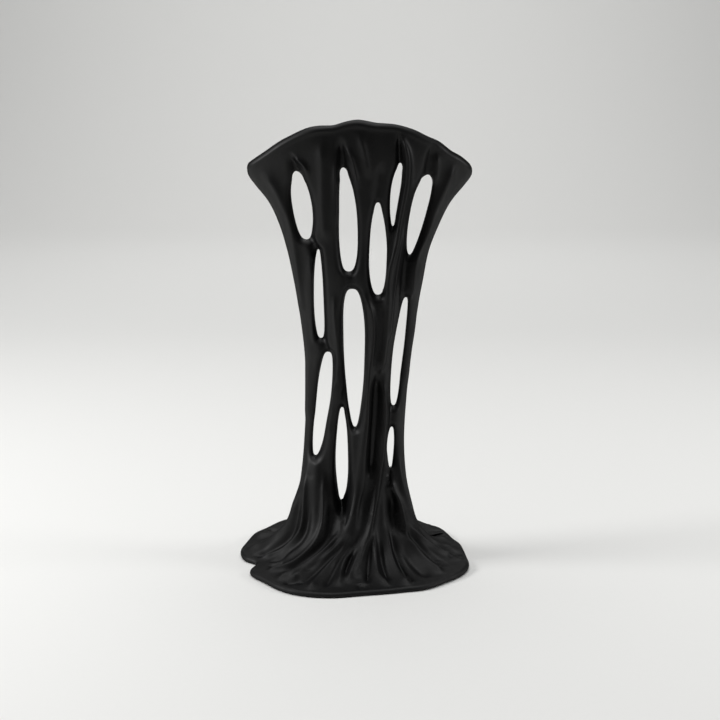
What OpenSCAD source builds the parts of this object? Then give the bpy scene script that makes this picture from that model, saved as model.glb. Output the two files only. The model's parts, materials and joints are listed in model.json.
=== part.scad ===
// Openwork fan sculpture in burnished black clay, hand-built from coils and slabs.
// A round folded foot, six pinched coils that part into long openings, and a fan-shaped crown.
// Millimetres, +Z up. The origin is at the middle of the foot's underside; the front faces -Y.

/* [Foot] */
// Thickness of the round slab that the form stands on
slab_t = 6; // [5:0.5:8]
// Height of the foot, up to where the coils stand on its core
foot_h = 44; // [40:1:44]
// Half width of the core inside the foot, along X
core_w = 47; // [45:1:50]
// Half depth of the core inside the foot, along Y
core_d = 19; // [16:1:24]
// How steeply the skirt sweeps up from the slab to the core
sweep = 2.8; // [2:0.1:3.5]
// Height of the folds in the skirt
fold_h = 5; // [0:0.5:6]
// Width of a fold, in degrees round the foot
fold_w = 6; // [4:0.5:9]

/* [Coils] */
// Half depth of a coil, in the middle of the form
coil_d = 9; // [7:0.5:11]
// Least half depth of a thin coil
coil_least = 4.5; // [4:0.5:6]
// Depth of a coil for each unit of its width
coil_round = 1.1; // [0.9:0.05:1.3]
// How far the form bows forward in the middle
bow = 16; // [10:1:22]

/* [Crown] */
// Height of the whole form
height = 352; // [350:1:356]
// Half thickness of the crown where the coils end
crown_d = 6; // [5:0.5:8]
// Half thickness of the crown just under its rim
crown_top_d = 4; // [3:0.5:5]
// Height of the rolled rim coil
rim_h = 4; // [3:0.5:5]
// Half thickness of the rolled rim coil
rim_d = 4.5; // [4:0.5:6]
// Depth of the shallow flutes pressed into the crown's front
flute_d = 1.2; // [0:0.1:2]

/* [Hidden] */

clay = [0.09, 0.09, 0.09];
clay_light = [0.14, 0.14, 0.14];
crown_z = 322;      // the level where the coils end and the crown's panels start
root_taper = 0.28;  // how fast a coil's root thins as it rises from the core
row_h = 6.5;        // height of one row of a coil's surface
coil_cols = 8;      // columns across a coil
skin = 0.985;       // how fully an open edge rounds off
pinch = 0.45;       // how deep the valley is where two coils are pinched together
open_at = 2.5;      // half width of a gap at which its edge is fully open
step_a = 3;         // degrees between two columns of a skirt
ledge = 0.6;        // least height of a crown panel, at the crown's two tips

// The foot's outline: [angle, radius]
FOOT_LINE = [
    [-180, 95], [-173, 91], [-165, 83], [-154, 93], [-140, 93.5], [-120, 97], [-102, 93],
    [-88, 87], [-75, 86], [-65, 87.5], [-56, 91], [-41, 91], [-27, 92.5], [-18, 93], [-8, 91.5],
    [4, 88], [20, 88], [35, 90], [60, 97], [90, 94], [130, 99], [160, 95], [180, 95]
];

// The crests of the skirt's folds: [angle at the core, angle at the rim, share of fold_h]
FOLDS = [
    [-172, -180, 0.9], [-160, -168, 0.9], [-142, -147, 1], [-115, -134, 1], [-96, -125, 1],
    [-90, -104, 0.8], [-68, -90, 0.8], [-57, -73, 0.8], [-43, -61, 1], [-25, -37, 1],
    [-12, -14, 0.9], [4, 3, 0.7], [15, 21, 0.8], [40, 42, 1], [70, 69, 1], [108, 97, 1],
    [134, 127, 1], [154, 160, 1]
];

// The wave along the crown's top: [x, drop from the plain arc]
CROWN_WAVE = [
    [-86, 0], [-72, -0.8], [-54, 0], [-34, 0], [-26, -0.9], [-18, -1.9], [-8, -0.5], [2, 0],
    [9, -1.1], [15, -1.6], [20, -1.1], [28, 0], [44, -0.2], [54, -0.9], [64, -0.2], [73, -1.8],
    [82, -0.7], [92, -1.5]
];

// The form's two side edges: [height, x]
LEFT_EDGE = [
    [44, -50], [54, -47], [75, -44], [105, -41.5], [140, -40], [165, -41], [194, -44],
    [223, -48.5], [251, -54], [270, -60], [289, -69], [303, -80], [309, -84], [315, -84],
    [322, -77]
];
RIGHT_EDGE = [
    [44, 43.5], [55, 42], [76, 39.5], [100, 38.5], [126, 40], [155, 42], [184, 46],
    [222, 52], [251, 58], [270, 65], [288, 74], [303, 87], [309, 91], [315, 89], [322, 82]
];

// The five lines where neighbouring coils meet, [height, x], each with its openings:
// [bottom, top, half width, rise of the widest place, fullness]
LEFT_SEAM = [[44, -34], [85, -33], [171, -22], [182, -28], [253, -29], [260, -39], [312, -44.5], [322, -46]];
LEFT_GAPS = [[85, 171, 5.7, 1.3, 0.32], [182, 253, 3.8, 0.7, 0.45], [260, 312, 7.8, 1, 0.4]];
LOW_SEAM = [[44, -11.5], [127, -11.5]];
LOW_GAPS = [[48, 127, 4.9, 1, 0.55]];
CENTRE_SEAM = [[111, -1], [222, -3], [236, -6], [315, -9], [322, -9.5]];
CENTRE_GAPS = [[111, 222, 8.4, 1.7, 0.3], [236, 315, 7.1, 0.8, 0.4]];
TRUNK_SEAM = [[44, 12], [105, 14], [145, 17], [290, 17], [322, 17]];
TRUNK_GAPS = [[217, 290, 7, 0.8, 0.5]];
DIVIDING_SEAM = [[217, 17], [270, 28.5], [321, 34], [322, 34]];
DIVIDING_GAPS = [[270, 321, 4.1, 1.35, 0.4]];
RIGHT_SEAM = [[44, 25], [71, 27], [110, 28.5], [127, 29.5], [214, 39], [247, 42], [309, 55], [322, 57]];
RIGHT_GAPS = [[71, 110, 2.6, 1.7, 0.45], [127, 214, 4.2, 1, 0.4], [247, 309, 6.8, 1.55, 0.3]];

function clamp(v, low, high) = min(high, max(low, v));
function ease(t) = (1 - cos(180 * clamp(t, 0, 1))) / 2;
function sum(list, i = 0) = i < len(list) ? list[i] + sum(list, i + 1) : 0;

// A smooth reading of a list of [key, value] pairs, level at each pair
function smooth_lookup(k, list) =
    let (i = max([for (n = [0 : len(list) - 2]) if (list[n][0] <= k || n == 0) n]))
    let (a = list[i], b = list[i + 1])
    a[1] + (b[1] - a[1]) * ease((k - a[0]) / (b[0] - a[0]));

core_x = -3.2;      // the core stands a little left of the foot's middle

function foot_r(a) = smooth_lookup(a > 180 ? a - 360 : a, FOOT_LINE);
function core_r(a) = core_w * core_d / sqrt(pow(core_d * cos(a), 2) + pow(core_w * sin(a), 2));

// Half width of an opening at height z, 0 where the coils touch
function gap_half(gaps, z) = max([0, for (g = gaps)
    if (z > g[0] && z < g[1]) g[2] * pow(sin(180 * pow((z - g[0]) / (g[1] - g[0]), g[3])), g[4])]);

// The form's half width, bow and middle surface
function half_w(z) = 40 + 46 * pow(max(0, (z - 150) / 165), 2.2);
function bow_at(z) = bow + 10 * pow(max(0, (z - 150) / 165), 2);
function mid_y(x, z) = bow_at(z) * (pow(x / half_w(z), 2) - 0.45) * ease((z - foot_h) / 60);

// Half depth of the core at x, where the coils' roots stand on it
function core_half(x) = core_d * sqrt(max(0.06, 1 - pow((x - core_x) / core_w, 2)));

// Half depth, at x and height z, of a coil of half width w
function depth(w, x, z) =
    let (limit = z < 200 ? coil_d : coil_d + (crown_d - coil_d) * (z - 200) / (crown_z - 200))
    let (root = core_half(x) - (z - foot_h) * root_taper)
    let (rounded = clamp(coil_round * w, coil_least, limit))
    let (t = ease((z - crown_z + 30) / 30))
    max(root, rounded * (1 - t) + crown_d * t);

function crown_line(x) = height - 28 * pow(abs(x - 2.5) / 79, 2.1) + smooth_lookup(x, CROWN_WAVE);

// A closed solid between two grids of points with the same rows and columns
module block(front, back) {
    n = len(front);
    m = len(front[0]);
    points = concat([for (row = front) for (p = row) p], [for (row = back) for (p = row) p]);
    function f(i, j) = i * m + j;
    function b(i, j) = n * m + i * m + j;
    faces = concat(
        [for (i = [0 : n - 2]) for (j = [0 : m - 2]) each [
            [f(i, j), f(i + 1, j), f(i + 1, j + 1)], [f(i, j), f(i + 1, j + 1), f(i, j + 1)],
            [b(i, j), b(i + 1, j + 1), b(i + 1, j)], [b(i, j), b(i, j + 1), b(i + 1, j + 1)]
        ]],
        [for (j = [0 : m - 2]) each [
            [f(0, j), f(0, j + 1), b(0, j + 1)], [f(0, j), b(0, j + 1), b(0, j)],
            [f(n - 1, j + 1), f(n - 1, j), b(n - 1, j)], [f(n - 1, j + 1), b(n - 1, j), b(n - 1, j + 1)]
        ]],
        [for (i = [0 : n - 2]) each [
            [f(i + 1, 0), f(i, 0), b(i, 0)], [f(i + 1, 0), b(i, 0), b(i + 1, 0)],
            [f(i, m - 1), f(i + 1, m - 1), b(i + 1, m - 1)], [f(i, m - 1), b(i + 1, m - 1), b(i, m - 1)]
        ]]
    );
    polyhedron(points = points, faces = faces, convexity = 6);
}

// A length of coil from z0 to z1. Its left and right sides are seams with their openings;
// a side with no list of openings is the form's free edge.
module coil(z0, z1, left, left_gaps, right, right_gaps) {
    rows = ceil((z1 - z0) / row_h);
    function left_x(z) = lookup(z, left) + (is_undef(left_gaps) ? 0 : gap_half(left_gaps, z));
    function right_x(z) = lookup(z, right) - (is_undef(right_gaps) ? 0 : gap_half(right_gaps, z));
    function open(gaps, z) = is_undef(gaps) ? 1 : min(1, gap_half(gaps, z) / open_at);
    function cut(gaps, z) = pinch + (skin - pinch) * open(gaps, z);
    function side(s, i, j) =
        let (z = z0 + (z1 - z0) * i / rows, a = left_x(z), b = max(right_x(z), left_x(z) + 1))
        let (u = ease(j / coil_cols), x = a + (b - a) * u, w = 2 * u - 1)
        let (e = w < 0 ? cut(left_gaps, z) : cut(right_gaps, z))
        [x, mid_y(x, z) + s * depth((b - a) / 2, x, z) * sqrt(1 - e * w * w), z];
    block([for (i = [0 : rows]) [for (j = [0 : coil_cols]) side(-1, i, j)]],
          [for (i = [0 : rows]) [for (j = [0 : coil_cols]) side(1, i, j)]]);
}

// One slab of the folded skirt, between two angles round the core
module skirt(a0, a1) {
    cols = 9;
    function ring_x(a, t) = (core_x + core_r(a) * cos(a)) * (1 - t) + (foot_r(a) - 1) * cos(a) * t;
    function ring_y(a, t) = core_r(a) * sin(a) * (1 - t) + (foot_r(a) - 1) * sin(a) * t;
    function crest(a, t, fold) =
        let (gap = a - (fold[0] * (1 - t) + fold[1] * t), turn = gap - 360 * round(gap / 360))
        fold[2] * exp(-pow(turn / fold_w, 2));
    function crests(a, t) = min(1.1, sum([for (fold = FOLDS) crest(a, t, fold)]));
    function top_z(a, t) = slab_t + 0.8 + (foot_h - slab_t - 0.8) * pow(1 - t, sweep)
        + fold_h * crests(a, t) * 3 * t * (1 - t);
    function point(a, t, top) = [ring_x(a, t), ring_y(a, t), top ? top_z(a, t) : slab_t];
    block([for (a = [a0 : step_a : a1]) [for (j = [0 : cols]) point(a, j / cols, true)]],
          [for (a = [a0 : step_a : a1]) [for (j = [0 : cols]) point(a, j / cols, false)]]);
}

function flute(x) = flute_d * cos(360 * x / 21);

// A panel of the crown between two upright seams
module crown_panel(x0, x1) {
    cols = ceil((x1 - x0) / 3.5);
    rows = 5;
    function side(s, i, j) =
        let (x = x0 + (x1 - x0) * j / cols, top = max(crown_line(x) - rim_h, crown_z + ledge))
        let (z = crown_z + (top - crown_z) * i / rows, t = i / rows)
        let (d = crown_d + (crown_top_d - crown_d) * t)
        [x, mid_y(x, z) + s * d + (s < 0 ? flute(x) * sin(180 * t) : 0), z];
    block([for (i = [0 : rows]) [for (j = [0 : cols]) side(-1, i, j)]],
          [for (i = [0 : rows]) [for (j = [0 : cols]) side(1, i, j)]]);
}

module foot_slab() color(clay) linear_extrude(slab_t)
    polygon([for (a = [0 : step_a : 359]) foot_r(a) * [cos(a), sin(a)]]);

module foot_core() color(clay) translate([0, 0, slab_t]) linear_extrude(foot_h - slab_t)
    polygon([for (a = [0 : step_a : 359]) [core_x + core_r(a) * cos(a), core_r(a) * sin(a)]]);

module skirt_front() color(clay) skirt(240, 300);
module skirt_front_left() color(clay_light) skirt(180, 240);
module skirt_back_left() color(clay) skirt(120, 180);
module skirt_back() color(clay_light) skirt(60, 120);
module skirt_back_right() color(clay) skirt(0, 60);
module skirt_front_right() color(clay_light) skirt(300, 360);

// The joints between the lower, middle and upper lengths lie where neighbouring coils touch
edge_joint_low = 176;
edge_joint_high = 256;
inner_joint_high = 229;
right_joint_low = 119;
right_joint_high = 230;
bridge_low = CENTRE_GAPS[0][0];
bridge_high = LOW_GAPS[0][1];
divide_z = 221;

module left_edge_coil_lower() color(clay_light)
    coil(foot_h, edge_joint_low, LEFT_EDGE, undef, LEFT_SEAM, LEFT_GAPS);
module left_edge_coil_middle() color(clay)
    coil(edge_joint_low, edge_joint_high, LEFT_EDGE, undef, LEFT_SEAM, LEFT_GAPS);
module left_edge_coil_upper() color(clay_light)
    coil(edge_joint_high, crown_z, LEFT_EDGE, undef, LEFT_SEAM, LEFT_GAPS);

module left_coil_lower() color(clay)
    coil(foot_h, bridge_high, LEFT_SEAM, LEFT_GAPS, LOW_SEAM, LOW_GAPS);
module left_coil_middle() color(clay_light)
    coil(bridge_high, inner_joint_high, LEFT_SEAM, LEFT_GAPS, CENTRE_SEAM, CENTRE_GAPS);
module left_coil_upper() color(clay)
    coil(inner_joint_high, crown_z, LEFT_SEAM, LEFT_GAPS, CENTRE_SEAM, CENTRE_GAPS);
module pinched_bridge() color(clay)
    coil(bridge_low, bridge_high, LOW_SEAM, LOW_GAPS, CENTRE_SEAM, CENTRE_GAPS);

module centre_coil_lower() color(clay_light)
    coil(foot_h, bridge_low, LOW_SEAM, LOW_GAPS, TRUNK_SEAM, TRUNK_GAPS);
module centre_coil_middle() color(clay)
    coil(bridge_low, inner_joint_high, CENTRE_SEAM, CENTRE_GAPS, TRUNK_SEAM, TRUNK_GAPS);
module centre_coil_upper() color(clay_light)
    coil(inner_joint_high, crown_z, CENTRE_SEAM, CENTRE_GAPS, TRUNK_SEAM, TRUNK_GAPS);

module dividing_coil() color(clay)
    coil(divide_z, crown_z, TRUNK_SEAM, TRUNK_GAPS, DIVIDING_SEAM, DIVIDING_GAPS);

module right_coil_lower() color(clay)
    coil(foot_h, right_joint_low, TRUNK_SEAM, TRUNK_GAPS, RIGHT_SEAM, RIGHT_GAPS);
module right_coil_middle() color(clay_light)
    coil(right_joint_low, divide_z, TRUNK_SEAM, TRUNK_GAPS, RIGHT_SEAM, RIGHT_GAPS);
module right_coil_upper() color(clay_light)
    coil(divide_z, crown_z, DIVIDING_SEAM, DIVIDING_GAPS, RIGHT_SEAM, RIGHT_GAPS);

module right_edge_coil_lower() color(clay_light)
    coil(foot_h, right_joint_low, RIGHT_SEAM, RIGHT_GAPS, RIGHT_EDGE, undef);
module right_edge_coil_middle() color(clay)
    coil(right_joint_low, right_joint_high, RIGHT_SEAM, RIGHT_GAPS, RIGHT_EDGE, undef);
module right_edge_coil_upper() color(clay_light)
    coil(right_joint_high, crown_z, RIGHT_SEAM, RIGHT_GAPS, RIGHT_EDGE, undef);

// The upright seams between the crown's panels
crown_x = [-74, -27, 4, 38, 79];
module crown_panel_left() color(clay) crown_panel(crown_x[0], crown_x[1]);
module crown_panel_centre_left() color(clay_light) crown_panel(crown_x[1], crown_x[2]);
module crown_panel_centre_right() color(clay) crown_panel(crown_x[2], crown_x[3]);
module crown_panel_right() color(clay_light) crown_panel(crown_x[3], crown_x[4]);

// The rolled coil along the crown's top, flat underneath where it is luted to the panels
module rim_coil() {
    x0 = crown_x[0];
    x1 = crown_x[4];
    cols = 44;
    rows = 4;
    function side(s, i, j) =
        let (x = x0 + (x1 - x0) * j / cols, top = crown_line(x), low = max(crown_z + ledge, top - rim_h))
        let (t = i / rows, z = low + (top - low) * t)
        [x, mid_y(x, z) + s * rim_d * sqrt(1 - skin * t * t), z];
    color(clay_light)
        block([for (i = [0 : rows]) [for (j = [0 : cols]) side(-1, i, j)]],
              [for (i = [0 : rows]) [for (j = [0 : cols]) side(1, i, j)]]);
}

foot_slab();
foot_core();
skirt_front();
skirt_front_left();
skirt_back_left();
skirt_back();
skirt_back_right();
skirt_front_right();
left_edge_coil_lower();
left_edge_coil_middle();
left_edge_coil_upper();
left_coil_lower();
left_coil_middle();
left_coil_upper();
pinched_bridge();
centre_coil_lower();
centre_coil_middle();
centre_coil_upper();
dividing_coil();
right_coil_lower();
right_coil_middle();
right_coil_upper();
right_edge_coil_lower();
right_edge_coil_middle();
right_edge_coil_upper();
crown_panel_left();
crown_panel_centre_left();
crown_panel_centre_right();
crown_panel_right();
rim_coil();
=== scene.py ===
# %% [markdown]
# # An openwork fan in black fired clay
# On the real object everything is one material. A potter rolls coils, pinches them together where
# they touch, lets long openings part between them, drapes slabs round the foot, presses panels into
# a fan for the crown and rolls a coil along its top. Then all the joints are smoothed away with slip
# and the surface is burnished with a stone, so the fired piece looks poured in one go.
#
# That is also how this scene is made. The shape of the clay is written down once, as a function that
# is negative inside the clay and positive outside. One skin is drawn over it, and the skin is cut
# along the potter's joints, one closed mesh for each piece of the CAD model.

# %% The CAD frame
import json
import math

import bpy
import numpy as np
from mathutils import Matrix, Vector


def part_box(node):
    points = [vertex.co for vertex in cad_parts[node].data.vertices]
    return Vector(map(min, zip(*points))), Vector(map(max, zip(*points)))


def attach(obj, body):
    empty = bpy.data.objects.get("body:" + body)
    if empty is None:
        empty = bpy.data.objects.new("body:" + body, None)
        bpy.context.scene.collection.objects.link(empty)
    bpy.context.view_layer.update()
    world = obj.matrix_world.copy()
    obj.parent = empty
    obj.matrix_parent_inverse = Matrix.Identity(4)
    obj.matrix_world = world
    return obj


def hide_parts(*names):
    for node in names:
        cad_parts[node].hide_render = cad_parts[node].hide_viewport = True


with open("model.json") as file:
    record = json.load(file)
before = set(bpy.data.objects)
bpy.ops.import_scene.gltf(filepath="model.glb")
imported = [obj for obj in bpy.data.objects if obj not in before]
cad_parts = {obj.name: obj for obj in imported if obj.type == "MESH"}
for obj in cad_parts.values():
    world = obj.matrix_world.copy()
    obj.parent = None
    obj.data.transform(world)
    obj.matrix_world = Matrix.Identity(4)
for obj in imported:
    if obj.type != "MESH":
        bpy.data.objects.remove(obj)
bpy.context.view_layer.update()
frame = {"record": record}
METRE = 1000.0          # this script thinks in millimetres, and Blender in metres


def box(node):
    """A CAD node's lowest and highest corners in millimetres."""
    low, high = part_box(node)
    return np.array(low) * METRE, np.array(high) * METRE


HEIGHT = box("rim_coil")[1][2]
SLAB = box("foot_slab")[1][2]
FOOT = box("foot_core")[1][2]
CROWN = box("crown_panel_left")[0][2]
CORE = (box("foot_core")[1] - box("foot_core")[0]) / 2
CORE_X = (box("foot_core")[1][0] + box("foot_core")[0][0]) / 2
print(f"height {HEIGHT:.0f}, slab {SLAB:.0f}, foot {FOOT:.0f}, crown from {CROWN:.0f} mm")

# %% [markdown]
# ## Smooth lines through points
# `curve` reads a smooth value between the points of an outline. `arc` does the same for a stroke on
# the surface: it returns many points along it.


# %% Smooth lines
def curve(points, at):
    """A smooth reading of (key, value) points, flat beyond both ends."""
    key, value = np.array(points, float).T
    slope = np.gradient(value, key)
    at = np.clip(at, key[0], key[-1])
    i = np.clip(np.searchsorted(key, at) - 1, 0, len(key) - 2)
    gap = key[i + 1] - key[i]
    t = (at - key[i]) / gap
    ends = value[i] * (1 + 2 * t) * (1 - t) ** 2 + value[i + 1] * t**2 * (3 - 2 * t)
    return ends + gap * t * (1 - t) * (slope[i] * (1 - t) - slope[i + 1] * t)


def arc(points, steps=6):
    """Points along a smooth stroke through (a, b) points."""
    points = np.array(points, float)
    if len(points) == 2:
        return points
    run = np.arange(len(points))
    at = np.linspace(0, len(points) - 1, steps * (len(points) - 1) + 1)
    return np.stack([curve(np.stack([run, points[:, c]], 1), at) for c in (0, 1)], 1)


def ease(t):
    """0 below 0, 1 above 1, and an even rise and settling between."""
    t = np.clip(t, 0, 1)
    return t * t * (3 - 2 * t)


# %% [markdown]
# ## The outline and the openings
# Seen from the front the form is a tall hourglass with a fan on top. The edges are read by height,
# and the crown's top line by x. Each opening is a long drop between two pinched coils: its bottom
# and top tips, its half width, how high its widest place sits, how full it is, and how far it bends.
# The numbers below are copied measurements of how the form looks from the front. They follow no
# rule, so read them as data and not as a design.

# %% The form seen from the front
LEFT_EDGE = [           # height, x
    (44, -50), (54, -47), (75, -44), (105, -41.5), (140, -40), (165, -41), (194, -44), (223, -48.5),
    (251, -54), (270, -60), (289, -69), (303, -80.5), (308, -84), (313, -85), (318, -84.5),
]
RIGHT_EDGE = [          # height, x
    (44, 43.5), (55, 42), (76, 39.5), (100, 38.5), (126, 40), (155, 42), (184, 46), (222, 52),
    (251, 58), (270, 65), (288, 74.5), (303, 86.6), (308, 90.2), (313, 90.5), (318, 89.4),
]
# bottom x, bottom z, top x, top z, half width, rise of the widest place, fullness, bend
OPENINGS = {
    "upper_left": (-39, 260, -44.6, 309, 7.8, 1.0, 0.38, 0),
    "upper_middle": (-5.9, 236, -9.1, 312.5, 7.1, 0.8, 0.38, 1.3),
    "upper_centre": (17.1, 217, 16.8, 288, 7.0, 0.77, 0.51, 0),
    "upper_slot": (28.6, 270, 34, 317.5, 4.1, 1.34, 0.4, -1.4),
    "upper_right": (41.8, 247, 54.8, 306.5, 6.8, 1.57, 0.28, -0.7),
    "middle_left": (-27.8, 182, -29.2, 253, 3.8, 0.7, 0.46, -0.9),
    "middle_large": (-1, 111, -3, 222, 8.4, 1.69, 0.3, 0.5),
    "middle_right": (29.6, 127, 39.1, 214, 4.2, 1.0, 0.4, -1.1),
    "lower_left": (-32.9, 85, -22, 171, 5.7, 1.29, 0.31, 0.7),
    "lower_middle": (-11.5, 43.5, -11.4, 127, 4.9, 1.0, 0.56, 0.2),
    "lower_slot": (27, 67, 28.3, 110, 2.6, 1.7, 0.46, -0.4),
}
CROWN_WAVE = [          # x, how far the top edge is off its plain arc
    (-86, 0), (-72, -0.8), (-54, 0), (-34, 0), (-26, -0.9), (-18, -1.9), (-8, -0.5), (2, 0),
    (9, -1.1), (15, -1.6), (20, -1.1), (28, 0), (44, -0.2), (54, -0.9), (64, -0.2), (73, -1.8),
    (82, -0.7), (92, -1.5),
]


def crown_line(x):
    """The height of the crown's top edge at x, with the wave that fingers leave."""
    return HEIGHT - 0.3 - 28 * (np.abs(x - 2.5) / 79) ** 2.1 + curve(CROWN_WAVE, x)


def opening_at(name, s):
    """An opening's middle and half width, at a share s of the way up it."""
    x0, _, x1, _, half, rise, full, bend = OPENINGS[name]
    middle = x0 + (x1 - x0) * s + bend * 4 * s * (1 - s)
    return middle, half * np.clip(np.sin(np.pi * s**rise), 0, None) ** full


def opening_outline(name, steps=44):
    """An opening's edge, as points round it."""
    s = (1 - np.cos(np.linspace(0, np.pi, steps))) / 2
    middle, width = opening_at(name, s)
    z0, z1 = OPENINGS[name][1], OPENINGS[name][3]
    z = z0 + (z1 - z0) * s
    left, right = np.stack([middle - width, z], 1), np.stack([middle + width, z], 1)
    return np.concatenate([left, right[-2:0:-1]])


def in_opening(name, x, z):
    """Whether each point is in an opening."""
    z0, z1 = OPENINGS[name][1], OPENINGS[name][3]
    middle, width = opening_at(name, np.clip((z - z0) / (z1 - z0), 0, 1))
    return (z > z0) & (z < z1) & (np.abs(x - middle) < width)


print(f"{len(OPENINGS)} openings")

# %% [markdown]
# ## Maps of the form
# The thickness of a coil depends on how far a point is from the nearest edge, so that distance is
# worked out once on a flat sheet of small squares and read back from it. The reading uses a cubic
# spline: with plain straight-line readings the squares would show as facets in the shine.


# %% A map that can be read smoothly anywhere
class Map:
    def __init__(self, values, low, step):
        self.values, self.low, self.step = values.astype(np.float32), low, step

    def __call__(self, a, b):
        u = (a - self.low[0]) / self.step
        v = (b - self.low[1]) / self.step
        most = self.values.shape
        i = np.clip(np.floor(u).astype(int), 1, most[0] - 3)
        j = np.clip(np.floor(v).astype(int), 1, most[1] - 3)
        tu, tv = np.clip(u - i, 0, 1), np.clip(v - j, 0, 1)
        total = 0
        for di, wu in enumerate(self.weights(tu), -1):
            line = 0
            for dj, wv in enumerate(self.weights(tv), -1):
                line = line + wv * self.values[i + di, j + dj]
            total = total + wu * line
        return total

    @staticmethod
    def weights(t):
        return ((1 - t) ** 3 / 6, (3 * t**3 - 6 * t**2 + 4) / 6,
                (-3 * t**3 + 3 * t**2 + 3 * t + 1) / 6, t**3 / 6)


def blur(values, reach):
    """Softens a map over about reach squares."""
    k = np.arange(-3 * reach, 3 * reach + 1)
    weight = np.exp(-0.5 * (k / reach) ** 2)
    weight /= weight.sum()
    for axis in (0, 1):
        wide = np.pad(values, [(len(k) // 2,) * 2 if a == axis else (0, 0) for a in (0, 1)], "edge")
        n = values.shape[axis]
        values = sum(w * np.take(wide, np.arange(s, s + n), axis) for s, w in enumerate(weight))
    return values


def distance_to(a, b, points, closed=True):
    """Distance from each (a, b) to a line through points."""
    ends = np.roll(points, -1, 0) if closed else points[1:]
    starts = points if closed else points[:-1]
    near = np.full(a.shape, 1e9, np.float32)
    for p, q in zip(starts, ends):
        d = q - p
        size = max(float(d @ d), 1e-9)
        t = np.clip(((a - p[0]) * d[0] + (b - p[1]) * d[1]) / size, 0, 1)
        gap = np.hypot(a - p[0] - t * d[0], b - p[1] - t * d[1])
        near = np.where(gap < near, gap, near)
    return near


# %% [markdown]
# ## Distance from the edges
# Every square of the front sheet gets its distance to the nearest edge: the two sides, the crown's
# top line or an opening. Where two edges are equally near, a soft minimum keeps the ridge between
# them from being sharp.

# %% Distance from the edges, seen from the front
STEP = 1.0              # size of a square
FAR = 40                # the largest distance to an opening that is kept
NEAR_BY = 22            # only squares this near to an opening are measured
FRONT_LOW = (-104.0, 30.0)
FX, FZ = np.meshgrid(FRONT_LOW[0] + STEP * np.arange(209), FRONT_LOW[1] + STEP * np.arange(330),
                     indexing="ij")
FX, FZ = FX.astype(np.float32), FZ.astype(np.float32)


def near_outline(name):
    """Signed distance to one opening, positive in the clay. Only the squares near it matter."""
    points = opening_outline(name)
    signed = np.full(FX.shape, FAR, np.float32)
    low, high = points.min(0) - NEAR_BY, points.max(0) + NEAR_BY
    i0, i1 = np.searchsorted(FX[:, 0], [low[0], high[0]])
    j0, j1 = np.searchsorted(FZ[0], [low[1], high[1]])
    window = (slice(i0, i1), slice(j0, j1))
    gap = distance_to(FX[window], FZ[window], points)
    signed[window] = np.minimum(np.where(in_opening(name, FX[window], FZ[window]), -gap, gap), FAR)
    return signed


edge_z = np.linspace(0, 316, 120)
top_x = np.linspace(-84.5, 90, 90)
sides = [
    (np.stack([curve(LEFT_EDGE, edge_z), edge_z], 1), FX > curve(LEFT_EDGE, FZ)),
    (np.stack([curve(RIGHT_EDGE, edge_z), edge_z], 1), FX < curve(RIGHT_EDGE, FZ)),
    (np.stack([top_x, crown_line(top_x)], 1), FZ < crown_line(FX)),
]
edges = [np.where(inside, 1, -1) * distance_to(FX, FZ, line, closed=False)
         for line, inside in sides]
TOP_GAP = edges[2]
edges += [near_outline(name) for name in OPENINGS]
SOFT = 0.8              # how softly two edges' distances blend along the middle of a coil
stack = np.stack(edges)
least = stack.min(0)
EDGE = least - SOFT * np.log(np.exp(-(stack - least) / SOFT).sum(0))
print(f"clay covers {(EDGE > 0).mean():.0%} of the front map")

# %% [markdown]
# ## How thick the clay is
# A thin coil is nearly round and a wide one is flatter. The half width of the coil at any point is
# the largest edge distance close by, so that sets the half thickness. The whole sheet bows forward
# in the middle like a shell, and the coils thicken into the foot's core.

# %% Thickness and bow
widest = EDGE.copy()
for shift in range(1, 9):
    for way in (-shift, shift):
        widest = np.maximum(widest, np.roll(EDGE, way, 0))
widest = blur(np.clip(widest, 0, 12), 3)
COIL_LEAST, COIL_MOST, CROWN_THICK = 4.0, 8.6, 5.0
most = COIL_MOST + (CROWN_THICK - COIL_MOST) * ease((FZ - 215) / (CROWN - 215))
thick = np.clip(1.25 * widest, COIL_LEAST, most)
lip = 1.3 * np.exp(-(((TOP_GAP - 2.6) / 2.4) ** 2)) * ease((FZ - 300) / 20)
thin_to_lip = 1 - 0.28 * ease((FZ - CROWN) / (HEIGHT - CROWN))
core_half = CORE[1] * np.sqrt(np.clip(1 - ((FX - CORE_X) / CORE[0]) ** 2, 0.02, 1))
root = core_half - (FZ - FOOT) * 0.27
FLOW = 110              # how often the thickness is evened out along the coils
for _ in range(FLOW):
    thick[:, 1:-1] = (thick[:, :-2] + 2 * thick[:, 1:-1] + thick[:, 2:]) / 4
thick = thick * thin_to_lip + lip
THICK = thick + np.log1p(np.exp(np.clip(root - thick, -30, 30) / 2)) * 2
MAP_EDGE = Map(EDGE, FRONT_LOW, STEP)
MAP_THICK = Map(blur(THICK, 1), FRONT_LOW, STEP)


def bow(x, z):
    """How far the middle of the sheet stands from the x-z plane, as in the CAD model."""
    rise = np.clip((z - 150) / 165, 0, None)
    width = 40 + 46 * rise**2.2
    return (16 + 10 * rise**2) * ((x / width) ** 2 - 0.45) * ease((z - FOOT) / 60)


print(f"half thickness {THICK[EDGE > 3].min():.1f} to {THICK[EDGE > 3].max():.1f} mm")
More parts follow.
